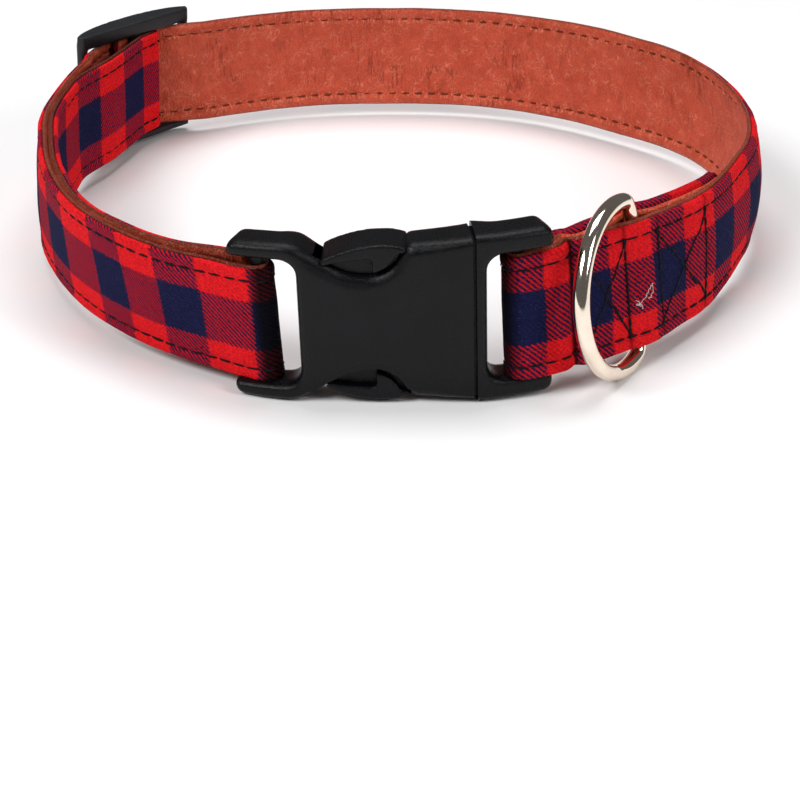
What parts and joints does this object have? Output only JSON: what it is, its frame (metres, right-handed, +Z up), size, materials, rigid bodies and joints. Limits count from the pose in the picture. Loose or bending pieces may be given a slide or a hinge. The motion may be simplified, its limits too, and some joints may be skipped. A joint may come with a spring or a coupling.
{
  "type": "dog_collar",
  "caption": "Fastened dog collar: plaid cloth strap lined with tan leather, side-release buckle, slider and D-ring, standing on its edge.",
  "frame": {"origin": "middle of the bottom of the collar's box, on the surface that it stands on", "axes": "+Z up along the neck, -Y towards the buckle, +X to the side of the D-ring as seen from the buckle"},
  "size_m": [0.1586, 0.1518, 0.0352],
  "materials": {
    "plaid_cloth": "matte twill",
    "tan_leather": "satin, pebbled",
    "black_plastic": "satin, fine texture",
    "pale_gold": "polished, pale gold plate"
  },
  "bodies": {
    "collar": {"strap_cloth": "plaid_cloth", "strap_lining": "tan_leather", "buckle_socket": "black_plastic", "buckle_prongs": "black_plastic", "slider": "black_plastic"},
    "ring": {"d_ring": "pale_gold"}
  },
  "joints": [
    {"name": "ring_swing", "type": "hinge", "parent": "collar", "child": "ring", "pos_m": [0.04606, -0.05477, 0.01736], "axis": [-0.1207, 0.1215, 0.9852], "range_deg": [0, 135]}
  ]
}
